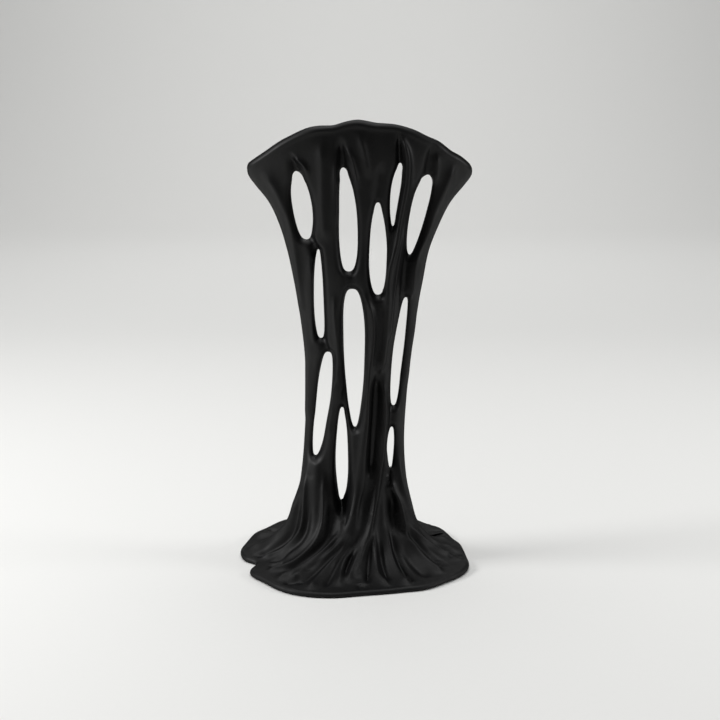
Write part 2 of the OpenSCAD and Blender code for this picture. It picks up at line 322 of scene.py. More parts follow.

# %% [markdown]
# ## The foot
# The foot is a puddle of clay with a wavy rim. It sweeps up steeply to the core, and the folds run
# out from the coils like the folds of a skirt. It is a height above the table, so its map is seen
# from above. The rim's radius is copied measurements as well, and its curl was set one by one.

# %% The foot seen from above
FOOT_LINE = [           # angle, radius
    (-180, 94), (-173, 91), (-165, 83), (-154, 93), (-140, 93.5), (-120, 97), (-102, 93),
    (-88, 87), (-75, 86), (-65, 87.5), (-56, 91), (-41, 92), (-27, 94.5), (-18, 94), (-8, 90.6),
    (4, 88), (20, 88), (35, 90), (60, 97), (90, 94), (130, 99), (160, 95), (180, 94),
]
RIM_LOBES = [           # angle, how far the rim curls up
    (-180, 1.6), (-166, 0), (-150, 0.8), (-120, 0.4), (-90, 0), (-60, 0.2), (-35, 0.8), (-18, 1.8),
    (-5, 0.8), (10, 2.6), (22, 1.0), (36, 3.0), (50, 1.2), (66, 2.8), (82, 1.2), (98, 2.6), (114, 1.4),
    (130, 3.4), (142, 1.8), (154, 3.2), (168, 1.0), (180, 1.6),
]
ROUND = 2.8             # radius of the foot's rounded rim
FOOT_FLAT = 3.8         # height of the foot's edge, before it curls
STEEP = 2.8             # how steeply the foot sweeps up to the core
WORN = {                # how deep and how wide the lowest openings are worn into the foot
    "lower_middle": (18, 6.5),
    "lower_slot": (14, 4.0),
}
PLAN_LOW = (-112.0, -112.0)
PX, PY = np.meshgrid(*[PLAN_LOW[0] + STEP * np.arange(225)] * 2, indexing="ij")
PX, PY = PX.astype(np.float32), PY.astype(np.float32)


def rim_radius(angle):
    return curve([(-200, 95)] + FOOT_LINE + [(187, 91)], angle)


def core_radius(angle):
    a = np.radians(angle)
    return CORE[0] * CORE[1] / np.hypot(CORE[1] * np.cos(a), CORE[0] * np.sin(a))


angle = np.degrees(np.arctan2(PY, PX))
RIM_GAP = rim_radius(angle) - np.hypot(PX, PY)
round_core = np.hypot(PX - CORE_X, PY)
core_edge = core_radius(np.degrees(np.arctan2(PY, PX - CORE_X)))
out = (round_core - core_edge) / np.clip(rim_radius(angle) - core_edge, 20, None)
sweep = np.clip(1 - out, 0, None)
flat = FOOT_FLAT + (1 - np.clip(sweep, 0, 1)) * curve(RIM_LOBES, angle)
mound = flat + (FOOT - flat) * np.where(out > 0, sweep**STEEP, 1 - 2.2 * out)
mound = np.clip(mound, 0, FOOT + 14)
worn = sum(deep * np.exp(-(((PX - OPENINGS[name][0]) / wide) ** 4))
           for name, (deep, wide) in WORN.items())
HIGH = blur(mound - worn * ease((mound - 20) / 30), 1)
slope = np.hypot(*np.gradient(HIGH, STEP))
MAP_HIGH = Map(HIGH, PLAN_LOW, STEP)
MAP_SLOPE = Map(blur(np.sqrt(1 + np.clip(slope, 0, 2.5) ** 2), 2), PLAN_LOW, STEP)
MAP_RIM = Map(RIM_GAP, PLAN_LOW, STEP)
print(f"the foot is {2 * RIM_GAP.max():.0f} mm across and {HIGH.max():.0f} mm high in the middle")

# %% [markdown]
# ## The clay as one function
# Two shapes are blended: the upright sheet of coils and the foot. A rounded edge is a circle laid
# along the edge, so each shape is the length of two distances less the radius. The blend fills the
# corner between them the way slip does.

# %% The clay
EDGE_ROUND = 5.5        # radius of the coils' rounded edges
BLEND = 8.0             # how wide the fillet between coils and foot is
COILS_FROM = 12         # the coils end at this height, inside the foot


def blended(a, b, width):
    """Two shapes joined into one, with a fillet as wide as width."""
    corner = np.clip(width - np.abs(a - b), 0, None) / width
    return np.minimum(a, b) - corner**2 * width / 4


def coils(y, edge, thickness, middle):
    inward = np.clip(EDGE_ROUND - edge, 0, None)
    return np.hypot(inward, (y - middle) * EDGE_ROUND / thickness) - EDGE_ROUND


def foot(z, high, steep, rim):
    inward = np.clip(ROUND - rim, 0, None)
    above = np.clip((z - high) / steep + ROUND, 0, None)
    return np.hypot(inward, above) - ROUND


def smooth_clay(x, y, z):
    """The clay before its ridges and folds, negative inside, in millimetres."""
    zz = np.maximum(z, FRONT_LOW[1] + 3)
    upright = coils(y, MAP_EDGE(x, zz), MAP_THICK(x, zz), bow(x, zz))
    low = foot(z, MAP_HIGH(x, y), MAP_SLOPE(x, y), MAP_RIM(x, y))
    return blended(np.maximum(upright, COILS_FROM - z), low, BLEND)


# %% [markdown]
# ## Ridges, valleys and folds
# Pinching leaves a ridge along a coil and a valley where two coils meet, and on the foot they run on
# as folds, like cloth that is gathered at the ankle. Each stroke below is one of them: how high it
# stands at its start and its end (negative is a valley), how wide it is, its points on the trunk and
# crown as (x, z), and its points on the foot as (radius, angle). A stroke is laid on the smooth clay
# first, and then every point of the skin is lifted by how near it is to the stroke.
#
# The points on the front are copied measurements, so this table is data too. The strokes' heights and
# widths, and everything at the back, were set one by one. A rule that spreads the folds round the foot
# would be better code.

# %% Strokes
STROKES = [
    # valleys from opening to opening, where coils are pinched together
    ((-2.0, -2.0), (3.4, 3.4), [(-19, 162), (-25, 176), (-29, 190)], []),
    ((-2.8, -2.8), (3.6, 3.6), [(-28, 243), (-33, 256), (-41, 268)], []),
    ((-1.2, -1.2), (4.0, 4.0), [(-3, 214), (-4, 229), (-6, 245)], []),
    ((-1.4, -1.4), (3.0, 3.0), [(-11.5, 120), (-9, 134), (-6, 148)], []),
    ((-2.0, -2.0), (3.2, 3.2), [(27.5, 103), (29, 118), (30, 136)], []),
    ((-2.4, -2.4), (4.0, 5.0), [(27.5, 66), (30.5, 58)], [(37, -32), (43, -25), (54, -21)]),
    ((-3.4, -3.2), (3.6, 4.0), [(37, 200), (38.5, 222), (39, 236), (43, 258)], []),
    ((-2.4, -1.4), (2.6, 2.6), [(29, 280), (27, 262), (23.5, 236)], []),
    # grooves that run up into the crown above the openings
    ((-3.4, -2.0), (5.0, 3.0), [(-44, 303), (-46.5, 314), (-50.5, 328)], []),
    ((-3.4, -2.0), (5.2, 3.2), [(-9.6, 305), (-10.4, 319), (-12, 341)], []),
    ((-2.2, -1.2), (5.0, 3.0), [(17, 279), (17, 296), (20, 322)], []),
    ((-3.0, -2.0), (3.0, 2.2), [(33.5, 310), (33.6, 326), (32.5, 344)], []),
    ((-3.0, -1.8), (6.0, 3.0), [(54, 297), (56, 314), (59, 336)], []),
    # crests beside the grooves
    ((1.4, 1.2), (2.0, 2.0), [(-51, 323), (-45.5, 322), (-39, 317), (-36, 308)], []),
    ((1.6, 1.2), (2.0, 2.0), [(-10, 334), (-6, 329), (-2.5, 321), (0, 311), (2, 298)], []),
    ((1.4, 1.0), (2.0, 2.2), [(-14, 332), (-16, 313), (-16, 293), (-15, 268)], []),
    ((1.8, 1.4), (4.6, 4.2), [(-28, 340), (-26, 328), (-25, 312), (-25, 282), (-23, 258)], []),
    ((1.8, 1.2), (2.8, 3.2), [(1, 345), (5, 333), (7.5, 322), (10, 306)], []),
    ((1.4, 1.2), (2.4, 2.2), [(61.5, 328), (61.5, 314), (60, 300)], []),
    # long crests down the coils
    ((3.9, 3.4), (2.3, 2.6), [(33, 344), (37, 331), (39.5, 317), (38.5, 300), (35, 281), (31, 261),
                              (28, 246), (25, 224), (23, 201), (21.5, 178), (18, 154)], []),
    ((1.4, 1.8), (1.8, 2.0), [(38, 276), (35.5, 262), (32.5, 246), (29.5, 228), (27, 206), (24.5, 180)],
     []),
    ((2.4, 2.2), (4.4, 2.2), [(79, 322), (74, 314), (68, 300), (61, 284), (55, 264), (46, 244),
                              (43.5, 228), (43, 210)], []),
    ((1.8, 1.2), (4.4, 3.0), [(-76, 316), (-64, 303), (-57, 289), (-51, 272), (-47, 252), (-44, 228),
                              (-42, 196)], []),
    ((1.2, 1.4), (2.2, 2.2), [(-36, 250), (-34.5, 225), (-34.5, 195), (-33, 176)], []),
    ((1.2, 1.4), (2.2, 2.2), [(-17, 222), (-16, 196), (-14, 168), (-15, 145)], []),
    ((1.2, 1.6), (2.2, 2.2), [(-16, 158), (-19, 130), (-22, 100)], []),
    ((1.2, 1.4), (2.2, 2.4), [(-37, 168), (-38.5, 140), (-39, 112)], []),
    ((1.2, 1.2), (2.0, 2.0), [(47, 200), (43, 170), (38.5, 140)], []),
    # the split in the trunk, and crests that run on as folds of the foot
    ((-3.4, -2.0), (4.4, 4.4), [(17, 160), (16, 133), (14.5, 112), (13, 90), (11, 70)], []),
    ((1.6, 4.2), (2.4, 4.0), [(2, 220), (8, 216), (12, 203), (13, 188), (12, 173), (10, 152), (9, 135),
                              (8, 116), (5.5, 97), (4, 78), (1, 58)],
     [(24, -95), (29, -102), (38, -110), (49, -119), (64, -126), (86, -127)]),
    ((1.8, 2.8), (2.4, 3.2), [(18, 154), (21, 144), (22, 127), (21, 108), (20, 88), (17, 68), (14.5, 50)],
     [(29, -68), (35, -79), (46, -86), (65, -91)]),
    ((1.4, 4.4), (2.6, 3.4), [(25, 104), (26, 84), (29, 62), (35, 48)],
     [(41, -25), (47, -26), (57, -29), (71, -33), (86, -37)]),
    ((1.0, 3.2), (3.0, 4.0), [(35, 90), (35, 74), (38, 58)], [(44, -12), (52, -4), (66, 3), (86, 3)]),
    ((0.4, 3.6), (3.4, 6.0), [(-43, 70), (-45, 54)], [(52, -172), (64, -179), (77, -184), (93, -180)]),
    ((0.4, 3.8), (2.2, 3.4), [(-40, 78), (-40, 64)], [(43, -160), (47, -157), (55, -160), (64, -165),
                                                      (82, -169)]),
    ((0.8, 2.2), (6.0, 7.0), [(-32, 96), (-32, 62)], [(37, -148), (43, -145), (53, -148), (68, -154)]),
    ((0.6, 4.0), (2.2, 3.4), [(-26, 78), (-26, 64)], [(31, -141), (38, -136), (46, -136), (57, -139),
                                                      (68, -141), (86, -148)]),
    ((1.4, 4.2), (2.6, 4.0), [(-12.5, 47)], [(30, -114), (38, -118), (50, -125), (60, -130), (74, -132),
                                             (91, -134)]),
    ((0.0, 3.4), (3.0, 3.6), [(1, 56)], [(25, -89), (33, -99), (43, -107), (56, -113), (76, -114),
                                         (94, -113)]),
    ((2.4, 3.0), (2.2, 2.8), [], [(35, -88), (40, -96), (48, -101), (59, -101), (80, -100)]),
    ((2.4, 2.6), (2.2, 2.8), [], [(35, -87), (42, -89), (55, -94), (74, -95)]),
    ((1.4, 3.6), (2.2, 2.6), [], [(27, -56), (32, -64), (38, -68), (49, -72), (62, -74), (82, -71)]),
    ((1.4, 4.2), (2.6, 3.4), [], [(29, -42), (34, -47), (41, -51), (49, -55), (63, -59), (88, -62)]),
    ((1.6, 4.0), (2.8, 3.8), [], [(40, -16), (45, -17), (51, -13), (60, -9), (72, -9), (90, -16)]),
    # hollows between the folds
    ((-1.0, -3.2), (3.4, 4.6), [(-43, 58), (-44, 49)], [(50, -165), (58, -167), (70, -171), (86, -173)]),
    ((-0.8, -3.0), (3.2, 4.4), [(-36, 52)], [(43, -153), (50, -151), (60, -154), (76, -159)]),
    ((-1.2, -3.2), (3.6, 5.0), [(-19, 60), (-17, 48)], [(36, -125), (45, -128), (57, -134), (78, -138)]),
    ((-3.0, -2.8), (3.0, 3.4), [], [(27, -106), (40, -115), (54, -122), (74, -127)]),
    ((-2.0, -2.4), (2.4, 3.0), [], [(30, -99), (40, -107), (52, -115), (70, -120), (88, -121)]),
    ((-3.2, -3.0), (2.6, 2.8), [], [(36, -91), (44, -95), (54, -98), (68, -98)]),
    ((-1.4, -2.4), (2.6, 3.0), [], [(28, -84), (36, -94), (46, -104), (60, -107), (84, -107)]),
    ((-1.0, -4.0), (3.0, 3.0), [], [(32, -73), (38, -74), (44, -77), (54, -80), (72, -83)]),
    ((-2.0, -3.2), (2.6, 2.6), [], [(34, -57), (42, -63), (56, -67), (72, -68)]),
    ((-2.0, -4.6), (3.2, 3.4), [], [(32, -38), (39, -43), (48, -48), (62, -53), (82, -58)]),
    ((-1.0, -3.0), (4.0, 5.0), [], [(44, -34), (54, -40), (66, -42), (82, -46)]),
    ((-2.0, -3.4), (3.0, 3.6), [], [(43, -21), (51, -20), (63, -21), (82, -26)]),
    ((-1.4, -3.0), (3.4, 4.0), [(40, 52)], [(49, -7), (60, -3), (76, -3), (90, -7)]),
    # pressed cups at the ends of the hollows
    ((-2.4, -2.4), (4.0, 4.0), [], [(66, -147), (80, -151)]),
    ((-2.2, -2.2), (3.6, 3.6), [], [(76, -122), (91, -128)]),
    ((-2.0, -2.0), (3.6, 3.6), [], [(70, -87), (84, -86)]),
    ((-2.2, -2.2), (3.4, 3.4), [], [(74, -12), (88, -12)]),
    # folds and hollows at the back
    ((1.4, 3.4), (3.4, 4.4), [], [(48, 14), (60, 22), (92, 20)]),
    ((-1.2, -3.0), (3.6, 5.0), [], [(44, 26), (58, 32), (90, 32)]),
    ((1.6, 4.2), (3.4, 4.6), [(30, 60)], [(34, 40), (50, 44), (94, 42)]),
    ((-1.4, -3.4), (3.6, 5.4), [], [(28, 56), (48, 58), (92, 56)]),
    ((1.8, 4.4), (3.4, 4.8), [(13, 74), (12, 54)], [(25, 70), (44, 72), (96, 68)]),
    ((-1.4, -3.2), (3.6, 5.4), [], [(24, 88), (46, 86), (92, 82)]),
    ((1.8, 4.2), (3.4, 4.8), [(-6, 60)], [(26, 108), (46, 100), (94, 96)]),
    ((-1.4, -3.2), (3.6, 5.0), [], [(28, 122), (50, 115), (94, 112)]),
    ((1.8, 4.2), (3.4, 4.8), [(-22, 66), (-23, 54)], [(32, 134), (52, 128), (99, 127)]),
    ((-1.2, -3.4), (3.6, 5.0), [], [(42, 146), (58, 142), (96, 144)]),
    ((1.6, 4.0), (3.4, 4.6), [(-38, 62)], [(46, 154), (62, 156), (98, 160)]),
    ((-1.0, -2.8), (3.4, 4.4), [], [(52, 166), (66, 170), (92, 173)]),
]
BACK_SHARE = 0.6        # how much of a trunk stroke the back has


def uphill_of(line):
    """The smooth clay's value and its slope at a line's points."""
    value = smooth_clay(*line.T)
    return value, np.stack([(smooth_clay(*(line + d).T) - value) / 0.5 for d in 0.5 * np.eye(3)], 1)


def onto_clay(line):
    """Slides a line's points onto the smooth clay."""
    for _ in range(5):
        value, slope = uphill_of(line)
        line = line - slope * (value / np.maximum((slope**2).sum(1), 0.1))[:, None]
    return line


def evened(line):
    """A line's points or ways, evened out between their neighbours."""
    for _ in range(4):
        line[1:-1] = (line[:-2] + 2 * line[1:-1] + line[2:]) / 4
    return line


def laid(trunk, on_foot, side):
    """A stroke's points in space and the way out of the clay there, front (side -1) or back (1)."""
    marks = []
    if trunk:
        x, z = arc(trunk).T if len(trunk) > 1 else np.array(trunk, float).T
        on_skin = np.stack([x, bow(x, z) + side * MAP_THICK(x, z), z], 1)
        marks.append(np.where(z[:, None] < FOOT + 36, onto_clay(on_skin), on_skin))
    if on_foot:
        turned = [(r, a - 360 if a - on_foot[0][1] > 180 else a) for r, a in on_foot]
        r, a = arc(turned).T if len(turned) > 1 else np.array(turned, float).T
        x, y = r * np.cos(np.radians(a)), r * np.sin(np.radians(a))
        marks.append(onto_clay(np.stack([x, y, MAP_HIGH(x, y)], 1)))
    line = evened(np.concatenate(marks))
    out = evened(uphill_of(line)[1])
    return line, out / np.maximum(np.linalg.norm(out, axis=1), 1e-6)[:, None]


LAID = []
for heights, widths, trunk, on_foot in STROKES:
    LAID.append((heights, widths, *laid(trunk, on_foot, -1)))
    if trunk and not on_foot:
        LAID.append(([BACK_SHARE * h for h in heights], widths, *laid(trunk, [], 1)))
print(f"{len(STROKES)} strokes, {sum(1 for s in STROKES if s[3])} of them on the foot")


# %% [markdown]
# ## Lifting the skin
# How near a point is to a stroke is measured along the surface: what it stands off the clay is taken
# out of the distance, so that a stroke is as wide on a steep side as on a flat one. A valley has the
# profile of a bell, and a crest is a rounded roof. Both fade out at their ends and towards the rim.

# %% How high the strokes stand
CREST = 1.0             # how round the top of a crest is
HAND = 0.45             # unevenness left by the hands, in millimetres
FOOT_SHARE = 1.05       # how much of its height a stroke has on the foot
TRUNK_SHARE = 1.2       # and on the trunk and crown
CROWN_SHARE = 0.4       # how much it gains above CROWN_FROM
CROWN_FROM = 270
DEEP = 7.0              # a stroke isn't felt deeper than this in the clay
START_FADE = 18.0       # the length over which a stroke rises
END_FADE = 12.0         # and dies away
RIM_BAND = 25           # below this height the rim softens the strokes
RIM_SHARE = 0.35        # what is left of them at the rim
RIM_FADE = 8            # how far in from the rim they are whole again


def relief(x, y, z):
    """How far the strokes lift or lower the skin at each point."""
    total = np.zeros(x.shape, np.float32)
    for heights, widths, line, out in LAID:
        reach = max(3.0 * max(widths), DEEP)
        low, high = line.min(0) - reach, line.max(0) + reach
        near = np.flatnonzero((x > low[0]) & (x < high[0]) & (z > low[2]) & (z < high[2])
                              & (y > low[1]) & (y < high[1]))
        if not len(near):
            continue
        p = np.stack([x[near], y[near], z[near]]).astype(np.float32)
        best = np.full(len(near), 1e9, np.float32)
        gap, lift, along = best.copy(), best * 0, best * 0
        sizes = np.linalg.norm(np.diff(line, axis=0), axis=1)
        run = np.concatenate([[0], np.cumsum(sizes)])
        for n, size in enumerate(sizes):
            d = ((line[n + 1] - line[n]) / max(size, 1e-6)).astype(np.float32)[:, None]
            v = p - line[n].astype(np.float32)[:, None]
            t = np.clip((v * d).sum(0), 0, size)
            v -= t * d
            part = t / max(size, 1e-6)
            up = sum(v[i] * (out[n][i] + part * (out[n + 1][i] - out[n][i])) for i in range(3))
            away = (v * v).sum(0)
            closer = away < best
            best = np.where(closer, away, best)
            gap = np.where(closer, np.sqrt(np.clip(away - up**2, 0, None)), gap)
            lift = np.where(closer, up, lift)
            along = np.where(closer, run[n] + t, along)
        third = run[-1] / 3
        ends = ease(along / min(START_FADE, third)) * ease((run[-1] - along) / min(END_FADE, third))
        share = along / run[-1]
        tall = heights[0] + (heights[1] - heights[0]) * share
        wide = widths[0] + (widths[1] - widths[0]) * share
        if heights[1] < 0:
            wide = wide * (0.4 + 0.6 * np.sin(np.pi * np.clip(share, 0.02, 0.98)) ** 0.5)
            profile = np.exp(-((gap / wide) ** 2))
        else:
            profile = np.exp(CREST - np.sqrt(CREST**2 + (1.5 * gap / wide) ** 2))
        height = z[near]
        profile *= ease((DEEP - np.abs(lift)) / 4) * (1 + CROWN_SHARE * ease((height - CROWN_FROM) / 30))
        gain = FOOT_SHARE + (TRUNK_SHARE - FOOT_SHARE) * ease((height - 50) / 50)
        total[near] += tall * ends * profile * gain
    low = z < RIM_BAND
    total *= RIM_SHARE + (1 - RIM_SHARE) * np.where(low, ease(MAP_RIM(x, y) / RIM_FADE), 1)
    total = np.where(low, np.maximum(total, 0.6 * (1.5 - MAP_HIGH(x, y))), total)    # no holes
    return total + HAND * np.sin(x / 7.1 + z / 23 + 1) * np.sin(y / 8.3 - z / 31 + 2) * np.sin(z / 17 + 3)


UNDER_ROUND = 2.0       # the rounding where the foot meets the table


def clay(x, y, z):
    """Negative inside the clay, in millimetres."""
    raised = smooth_clay(x, y, z) - relief(x, y, z)
    return -blended(-raised, z, UNDER_ROUND)


# %% [markdown]
# ## One skin over the clay
# The space is cut into small cubes. Wherever the function changes sign along a cube's edge the skin
# passes, and each cube that it passes gets one point. This gives even four-sided faces. Each point
# is then slid onto the true surface along the slope, and the slope there is also its normal.

# %% Cubes and crossings
CUBE = 1.0
GRID_LOW = np.array([-103.0, -108.0, -2.0]) + 0.013
GRID_SIZE = np.ceil(np.array([207.0, 214.0, 356.0]) / CUBE).astype(int)
FELT = 8                # the strokes are added only this near to the smooth clay


def field():
    """The clay's value at each grid point, far-away points left at a large value."""
    axes = [(GRID_LOW[a] + CUBE * np.arange(GRID_SIZE[a])).astype(np.float32) for a in range(3)]
    values = np.full(GRID_SIZE, 9, np.float32)
    foot_rows = int((FOOT + 22 - GRID_LOW[2]) / CUBE)
    mesh = np.meshgrid(axes[0], axes[1], axes[2][:foot_rows], indexing="ij")
    values[:, :, :foot_rows] = smooth_clay(*mesh)
    X, Z = np.meshgrid(axes[0], axes[2][foot_rows:], indexing="ij")
    reads = MAP_EDGE(X, Z), MAP_THICK(X, Z), bow(X, Z)
    for j in range(*[int((y - GRID_LOW[1]) / CUBE) for y in (-32, 36)]):
        values[:, j, foot_rows:] = coils(axes[1][j], *reads)
    near = np.abs(values) < FELT
    i, j, k = np.nonzero(near)
    x, y, z = axes[0][i], axes[1][j], axes[2][k]
    values[near] -= relief(x, y, z)
    low = axes[2] < 9
    values[:, :, low] = -blended(-values[:, :, low], axes[2][low], UNDER_ROUND)
    return values


values = field()
print(f"grid {tuple(GRID_SIZE)}, {(values < 0).sum() * CUBE**3 / 1e3:.0f} ml of clay")


# %% [markdown]
# ## The skin's points and faces
# An edge of a cube runs from inside to outside where the skin cuts it. The four cubes round that edge
# share it, so their points make one four-sided face, turned by which end of the edge is inside.


# %% Drawing the skin
def skin_over(values):
    """The points and four-sided faces where the values change sign."""
    size = np.array(values.shape)
    strides = np.array([size[1] * size[2], size[2], 1])
    inside = values < 0
    cells, places, quads = [], [], []
    for axis in range(3):
        here = [slice(None)] * 3
        there = [slice(None)] * 3
        here[axis], there[axis] = slice(0, -1), slice(1, None)
        found = np.argwhere(inside[tuple(here)] != inside[tuple(there)])
        v0 = values[tuple(found.T)]
        step = np.eye(3, dtype=int)[axis]
        v1 = values[tuple((found + step).T)]
        crossing = found + step * (v0 / (v0 - v1))[:, None]
        b, c = (axis + 1) % 3, (axis + 2) % 3
        around = [found.copy() for _ in range(4)]
        for corner, (db, dc) in enumerate([(1, 1), (0, 1), (0, 0), (1, 0)]):
            around[corner][:, b] -= db
            around[corner][:, c] -= dc
        ids = np.stack([cell @ strides for cell in around], 1)
        ids[v0 > 0] = ids[v0 > 0][:, ::-1]
        quads.append(ids)
        cells.append(ids.ravel())
        places.append(np.repeat(crossing, 4, 0))
    cells, places = np.concatenate(cells), np.concatenate(places)
    known, index = np.unique(cells, return_inverse=True)
    count = np.bincount(index)
    points = np.stack([np.bincount(index, places[:, a]) / count for a in range(3)], 1)
    faces = np.searchsorted(known, np.concatenate(quads))
    return GRID_LOW + CUBE * points, faces


def uphill(p, reach=0.35):
    """The clay's slope at each point."""
    parts = []
    for a in range(3):
        d = np.zeros(3)
        d[a] = reach
        parts.append((clay(*(p + d).T) - clay(*(p - d).T)) / (2 * reach))
    return np.stack(parts, 1)


points, faces = skin_over(values)
del values
for _ in range(2):
    g = uphill(points)
    size = np.maximum((g * g).sum(1), 0.05)
    move = -g * (clay(*points.T) / size)[:, None]
    length = np.linalg.norm(move, axis=1, keepdims=True)
    points += move * np.minimum(1, 0.5 * CUBE / np.maximum(length, 1e-6))
points[:, 2] = np.maximum(points[:, 2], 0)
normals = uphill(points)
normals /= np.maximum(np.linalg.norm(normals, axis=1, keepdims=True), 1e-6)
print(f"skin of {len(points)} points and {len(faces)} faces")

# %% [markdown]
# ## Back into the potter's pieces
# The joints between coils run from opening to opening, and lengths of coil meet at level cuts. Those
# levels come from the CAD pieces' boxes, and the lines repeat the CAD model's own. Each face of the
# skin goes to the piece that it lies on.

# %% The joints
LEFT_SEAM = [(44, -34), (85, -33), (171, -22), (182, -28), (253, -29), (260, -39), (312, -44.5), (322, -46)]
LOW_SEAM_X = -11.5
CENTRE_SEAM = [(111, -1), (222, -3), (236, -6), (315, -9), (322, -9.5)]
TRUNK_SEAM = [(44, 12), (105, 14), (145, 17), (322, 17)]
DIVIDING_SEAM = [(217, 17), (270, 28.5), (321, 34)]
RIGHT_SEAM = [(44, 25), (71, 27), (110, 28.5), (127, 29.5), (214, 39), (247, 42), (309, 55), (322, 57)]
SKIRTS = ["skirt_back_right", "skirt_back", "skirt_back_left", "skirt_front_left", "skirt_front",
          "skirt_front_right"]
PANELS = [f"crown_panel_{part}" for part in ("left", "centre_left", "centre_right", "right")]
PANEL_SEAMS = [box(name)[1][0] for name in PANELS[:3]]
RIM_DEEP = 4.0          # how far the rolled coil reaches down from the top edge


def straight(points, at):
    """A straight-line reading of (key, value) points."""
    key, value = np.array(points, float).T
    return np.interp(at, key, value)


def lengths(stem, x_in, z, found):
    """Names the lower, middle or upper length of a coil by the CAD pieces' levels."""
    levels = [box(f"{stem}_{part}")[1][2] for part in ("lower", "middle")]
    for n, part in enumerate(("lower", "middle", "upper")):
        band = (z >= levels[0]).astype(int) + (z >= levels[1])
        found[x_in & (band == n)] = f"{stem}_{part}"


def piece_at(x, y, z):
    """The name of the CAD piece that each point of the skin belongs to."""
    found = np.full(x.shape, "foot_slab", dtype="U32")
    turn = (np.degrees(np.arctan2(y, x)) % 360 // 60).astype(int)
    skirt = (z >= SLAB) & (z < FOOT)
    found[skirt] = np.array(SKIRTS)[turn[skirt]]
    up = (z >= FOOT) & (z < CROWN)
    left, centre = straight(LEFT_SEAM, z), straight(CENTRE_SEAM, z)
    bridge_low, bridge_high = box("pinched_bridge")[0][2], box("pinched_bridge")[1][2]
    inner = np.where(z < bridge_high, LOW_SEAM_X, centre)
    trunk, right = straight(TRUNK_SEAM, z), straight(RIGHT_SEAM, z)
    divided = z >= box("dividing_coil")[0][2]
    divide = np.where(divided, straight(DIVIDING_SEAM, z), trunk)
    lengths("left_edge_coil", up & (x < left), z, found)
    lengths("left_coil", up & (x >= left) & (x < inner), z, found)
    lengths("centre_coil", up & (x >= inner) & (x < trunk), z, found)
    lengths("right_coil", up & (x >= divide) & (x < right), z, found)
    lengths("right_edge_coil", up & (x >= right), z, found)
    found[up & divided & (x >= trunk) & (x < divide)] = "dividing_coil"
    found[up & (z >= bridge_low) & (z < bridge_high) & (x >= inner) & (x < centre)] = "pinched_bridge"
    crown = z >= CROWN
    found[crown] = np.array(PANELS)[np.searchsorted(PANEL_SEAMS, x[crown])]
    found[crown & (z > crown_line(x) - RIM_DEEP)] = "rim_coil"
    return found


middles = points[faces].mean(1)
owner = piece_at(*middles.T)
names = sorted(set(owner))
print(f"{len(names)} pieces of skin: {', '.join(names)}")


# %% [markdown]
# ## Closing each piece
# A piece cut from a skin is open where its neighbours were. Its open border is followed round, and
# each border is walled to a matching line inside the clay, which no one sees on the whole object.


# %% Pieces from the skin
def border_loops(quads):
    """Closed rounds of points along the open border of some faces."""
    ahead = np.concatenate([np.stack([quads[:, a], quads[:, (a + 1) % 4]], 1) for a in range(4)])
    both = {(a, b) for a, b in ahead.tolist()}
    onward = {}
    for a, b in both:
        if (b, a) not in both:
            onward.setdefault(b, []).append(a)
    loops = []
    while onward:
        first = next(iter(onward))
        loop, at = [first], first
        while True:
            choices = onward[at]
            after = choices.pop()
            if not choices:
                del onward[at]
            if after == first or after not in onward:
                break
            loop.append(after)
            at = after
        if len(loop) > 2:
            loops.append(loop)
    return loops


def inside_point(name, p):
    """The point inside the clay that a border point of a piece is walled to."""
    if name == "foot_slab":
        return 0.0, 0.0, SLAB
    if name.startswith("skirt"):
        return CORE_X, 0.0, SLAB + 1
    return p[0], bow(p[0], p[2]), p[2]


def piece_mesh(name):
    """One piece: its share of the skin, walled off inside where it was luted to its neighbours."""
    quads = faces[owner == name]
    used = np.unique(quads)
    verts = list(points[used])
    polys = np.searchsorted(used, quads).tolist()
    loop_normals = list(normals[quads.ravel()])
    place = {int(old): new for new, old in enumerate(used)}
    for loop in border_loops(quads):
        first = len(verts)
        verts += [np.array(inside_point(name, points[v])) for v in loop]
        for n, (a, b) in enumerate(zip(loop, loop[1:] + loop[:1])):
            inner_a, inner_b = first + n, first + (n + 1) % len(loop)
            across = np.cross(points[b] - points[a], verts[inner_a] - points[a])
            across = across / max(np.linalg.norm(across), 1e-9)
            polys.append((place[a], place[b], inner_b, inner_a))
            loop_normals += [across] * 4
    mesh = bpy.data.meshes.new(name)
    mesh.from_pydata([tuple(v / METRE) for v in verts], [], polys)
    mesh.shade_smooth()
    mesh.normals_split_custom_set([tuple(n) for n in loop_normals])
    return mesh


pieces = {}
slots = {row["node"]: row["material_slot"] for row in frame["record"]["subparts"]}
for name in names:
    piece = bpy.data.objects.new(f"clay_{name}", piece_mesh(name))
    bpy.context.scene.collection.objects.link(piece)
    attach(piece, "root")
    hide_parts(name)
    pieces[name] = piece
    print(f"{name}: {len(piece.data.polygons)} faces")

# %% [markdown]
# ## The core under the skirt
# The foot was modelled round a plain lump, which can't be seen once the skirt is on. It could be
# left as the CAD solid, but the valleys of the skirt are pressed deeper than that solid's corners.
# So it is a dome, made like any turned form: a half profile, and a ring of points at each height.

